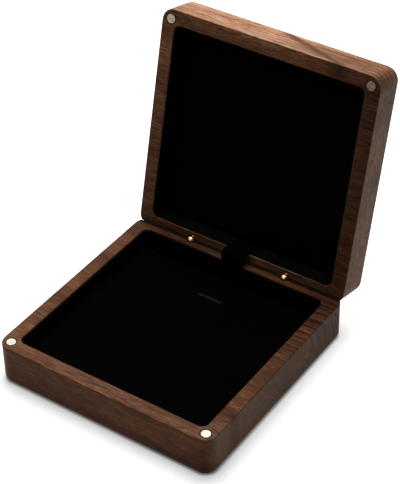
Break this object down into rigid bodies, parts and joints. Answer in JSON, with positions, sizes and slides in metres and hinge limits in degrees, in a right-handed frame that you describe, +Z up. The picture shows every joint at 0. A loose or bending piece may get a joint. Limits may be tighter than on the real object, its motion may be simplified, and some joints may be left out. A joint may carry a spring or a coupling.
{
  "type": "jewellery box",
  "caption": "Square walnut jewellery box with a hinged lid and ribbon stay, magnet catches, velvet lining and a lift-out pad with a display slit.",
  "frame": {"origin": "middle of the base's underside, on the surface that the box stands on", "axes": "+Z up, -Y towards the front rim, +Y towards the hinges, +X to the right seen from the front; stored with the lid open"},
  "size_m": [0.1, 0.1336, 0.1108],
  "materials": {
    "walnut": "satin",
    "velvet": "matte",
    "card": "matte",
    "foam": "matte",
    "nickel": "polished",
    "brass": "polished",
    "ribbon": "satin"
  },
  "bodies": {
    "base": {"base_block": "walnut", "base_wall_lining": "velvet", "base_floor_lining": "velvet", "base_magnet_left": "nickel", "base_magnet_right": "nickel", "left_hinge_fork": "brass", "right_hinge_fork": "brass", "left_hinge_pin": "brass", "right_hinge_pin": "brass", "stay_ribbon": "ribbon"},
    "pad": {"pad_board": "card", "pad_foam": "foam", "pad_cover": "velvet"},
    "lid": {"lid_block": "walnut", "lid_wall_lining": "velvet", "lid_panel_board": "card", "lid_panel_foam": "foam", "lid_panel_cover": "velvet", "lid_magnet_left": "nickel", "lid_magnet_right": "nickel", "left_hinge_tongue": "brass", "right_hinge_tongue": "brass"}
  },
  "joints": [
    {"name": "lid_hinge", "type": "hinge", "parent": "base", "child": "lid", "pos_m": [0, 0.0465, 0.0181], "axis": [1, 0, 0], "range_deg": [0, 103.6], "deforming": ["stay_ribbon"]},
    {"name": "pad_lift", "type": "slide", "parent": "base", "child": "pad", "axis": [0, 0, 1], "range_m": [0, 0.01]}
  ]
}
